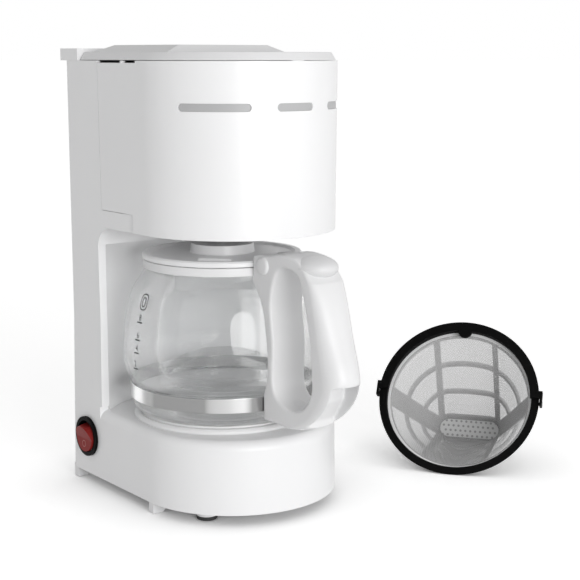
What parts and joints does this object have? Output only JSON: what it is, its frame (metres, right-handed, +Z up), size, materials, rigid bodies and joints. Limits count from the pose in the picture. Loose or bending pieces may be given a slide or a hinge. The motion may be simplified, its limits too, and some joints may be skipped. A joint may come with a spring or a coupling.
{
  "type": "drip coffee maker",
  "caption": "Upright drip coffee maker: round brew head over a glass carafe on a warming plate, rear water tank, side rocker switch, and a lift-out basket filter.",
  "frame": {"origin": "on the worktop, under the axis of the round brew head", "axes": "+Z up, -Y towards the front (carafe handle), -X the side with the switch"},
  "size_m": [0.2917, 0.2191, 0.2836],
  "materials": {
    "white_gloss": "glossy moulded white, fine satin on the sides",
    "white_satin": "satin moulded white",
    "grey_plastic": "satin translucent grey",
    "natural_plastic": "natural polypropylene",
    "black_plastic": "fine matt black",
    "red_plastic": "glossy tinted red",
    "steel": "polished stainless",
    "plate_steel": "pale non-stick enamel",
    "aluminium": "as cast",
    "rubber": "matt rubber",
    "silicone": "translucent silicone",
    "glass": "clear borosilicate",
    "mesh": "fine woven nylon net",
    "brass": "plated blades"
  },
  "bodies": {
    "housing": {"main_housing": "white_gloss", "brew_head_shell": "white_gloss", "base_plate": "white_satin", "front_foot_pads": "rubber", "base_screws": "steel", "hot_plate": "plate_steel", "hot_plate_ring": "white_satin", "heater_element": "aluminium", "heater_bracket": "steel", "heater_screws": "steel", "thermostat": "black_plastic", "thermal_fuses": "white_satin", "water_tank": "natural_plastic", "tank_outlet_grommet": "silicone", "check_valve_cage": "natural_plastic", "cold_water_hose": "silicone", "hot_water_hose": "silicone", "riser_tube": "natural_plastic", "riser_spout": "natural_plastic", "brew_funnel": "grey_plastic", "drip_spring": "steel", "lid_hinge_block": "white_gloss", "lid_hinge_pins": "steel", "switch_bezel": "black_plastic", "switch_pivot_pin": "steel", "switch_terminals": "brass", "cord_gland": "white_satin", "terminal_block": "white_satin"},
    "check_ball": {"check_valve_ball": "black_plastic"},
    "drip_plunger": {"drip_valve": "grey_plastic", "drip_valve_seal": "silicone"},
    "lid": {"top_lid": "white_satin", "lid_shower_plate": "white_satin"},
    "rocker": {"switch_rocker": "red_plastic"},
    "carafe": {"carafe_glass": "glass", "carafe_collar": "white_gloss", "carafe_foot_band": "steel", "carafe_lid": "grey_plastic", "carafe_handle": "white_gloss", "carafe_lid_pin": "steel", "handle_screw": "steel"},
    "filter": {"filter_rim": "black_plastic", "filter_frame": "grey_plastic", "filter_mesh": "mesh"},
    "bail": {"filter_bail": "black_plastic"}
  },
  "joints": [
    {"name": "lid_hinge", "type": "hinge", "parent": "housing", "child": "lid", "pos_m": [0, 0.088, 0.2778], "axis": [-1, 0, 0], "range_deg": [0, 95]},
    {"name": "switch_rock", "type": "hinge", "parent": "housing", "child": "rocker", "pos_m": [-0.058, 0.0758, 0.032], "axis": [0, 1, 0], "range_deg": [0, 16]},
    {"name": "carafe_slide", "type": "slide", "parent": "housing", "child": "carafe", "axis": [0, -1, 0], "range_m": [0, 0.25]},
    {"name": "drip_valve_drop", "type": "slide", "parent": "housing", "child": "drip_plunger", "axis": [0, 0, -1], "range_m": [0, 0.004], "deforming": ["drip_spring"]},
    {"name": "check_ball_lift", "type": "slide", "parent": "housing", "child": "check_ball", "axis": [0, 0, 1], "range_m": [0, 0.003]},
    {"name": "filter_lift", "type": "slide", "parent": "housing", "child": "filter", "axis": [0, 0, 1], "range_m": [0, 0.15]},
    {"name": "bail_swing", "type": "hinge", "parent": "filter", "child": "bail", "pos_m": [0.16165, -0.0385, 0.04455], "axis": [0.5878, -0.809, 0], "range_deg": [0, 90]}
  ],
  "couplings": [
    {"joint": "drip_valve_drop", "follows": "carafe_slide", "ratio": 0.016}
  ]
}
